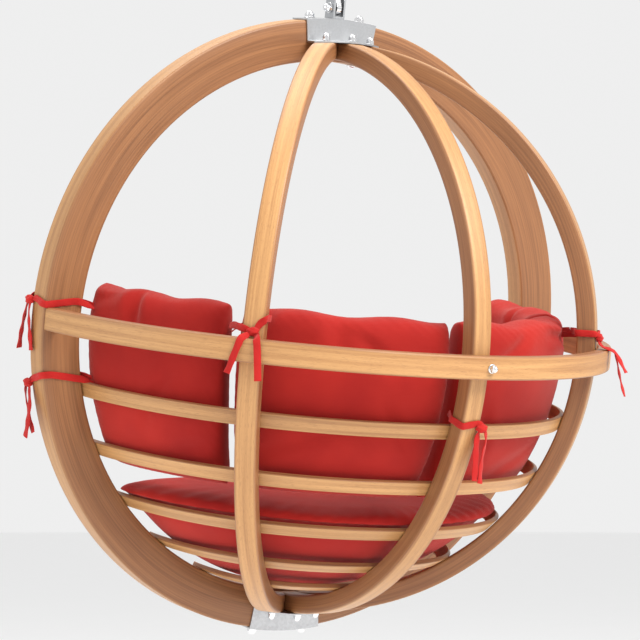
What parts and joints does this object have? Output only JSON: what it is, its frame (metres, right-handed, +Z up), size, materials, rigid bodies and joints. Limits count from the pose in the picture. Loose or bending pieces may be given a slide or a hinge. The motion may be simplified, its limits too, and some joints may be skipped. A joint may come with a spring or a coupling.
{
  "type": "hanging globe chair",
  "caption": "Round hanging chair: laminated wood front ring, bent back ribs, rail and slats, steel brackets, swivel eye, loose back cushions and a seat cushion tied on with ribbons.",
  "frame": {"origin": "where a hook bears, at the top inside of the swivel eye", "axes": "+Z up; the open front faces -Y; +X is the sitter's left seen from the front"},
  "size_m": [1.1907, 0.7206, 1.3203],
  "materials": {
    "laminated_wood": "satin oiled, grain along each bent piece",
    "plated_steel": "bright zinc plated sheet",
    "polished_steel": "polished",
    "black_bush": "matt",
    "red_cloth": "plain woven cotton, slightly slack",
    "red_ribbon": "folded woven tape"
  },
  "bodies": {
    "hook_eye": {"swivel_eye": "polished_steel"},
    "swivel": {"swivel_body": "polished_steel"},
    "chair": {"back_cushion_1": "red_cloth", "back_cushion_2": "red_cloth", "back_cushion_3": "red_cloth", "back_cushion_4": "red_cloth", "back_rib_left": "laminated_wood", "back_rib_middle": "laminated_wood", "back_rib_right": "laminated_wood", "bottom_bracket": "plated_steel", "cross_bolt": "polished_steel", "cross_nut": "polished_steel", "front_ring": "laminated_wood", "hanging_lug": "plated_steel", "mid_rail": "laminated_wood", "rail_bolt": "polished_steel", "rail_nut": "polished_steel", "rail_screw_left": "polished_steel", "rail_screw_right": "polished_steel", "rib_bolt_bottom_left": "polished_steel", "rib_bolt_bottom_middle": "polished_steel", "rib_bolt_bottom_right": "polished_steel", "rib_bolt_top_left": "polished_steel", "rib_bolt_top_middle": "polished_steel", "rib_bolt_top_right": "polished_steel", "rib_nut_bottom_left": "polished_steel", "rib_nut_bottom_middle": "polished_steel", "rib_nut_bottom_right": "polished_steel", "rib_nut_top_left": "polished_steel", "rib_nut_top_middle": "polished_steel", "rib_nut_top_right": "polished_steel", "ring_bolt_bottom_left": "polished_steel", "ring_bolt_bottom_right": "polished_steel", "ring_bolt_top_left": "polished_steel", "ring_bolt_top_right": "polished_steel", "ring_nut_bottom_left": "polished_steel", "ring_nut_bottom_right": "polished_steel", "ring_nut_top_left": "polished_steel", "ring_nut_top_right": "polished_steel", "seat_cushion": "red_cloth", "seat_slat_1": "laminated_wood", "seat_slat_2": "laminated_wood", "seat_slat_3": "laminated_wood", "seat_slat_4": "laminated_wood", "seat_slat_5": "laminated_wood", "spacer_bush": "black_bush", "tie_rib_left_1": "red_ribbon", "tie_rib_left_2": "red_ribbon", "tie_rib_middle_1": "red_ribbon", "tie_rib_middle_2": "red_ribbon", "tie_rib_right_1": "red_ribbon", "tie_rib_right_2": "red_ribbon", "tie_ring_lower_1": "red_ribbon", "tie_ring_lower_2": "red_ribbon", "tie_ring_upper_1": "red_ribbon", "tie_ring_upper_2": "red_ribbon", "top_bracket": "plated_steel"}
  },
  "joints": [
    {"name": "swivel_turn", "type": "hinge", "parent": "hook_eye", "child": "swivel", "pos_m": [0, 0, 0], "axis": [0, 0, 1], "continuous": true},
    {"name": "chair_rock", "type": "hinge", "parent": "swivel", "child": "chair", "pos_m": [0, 0, -0.109], "axis": [1, 0, 0], "range_deg": [-25, 25]}
  ]
}
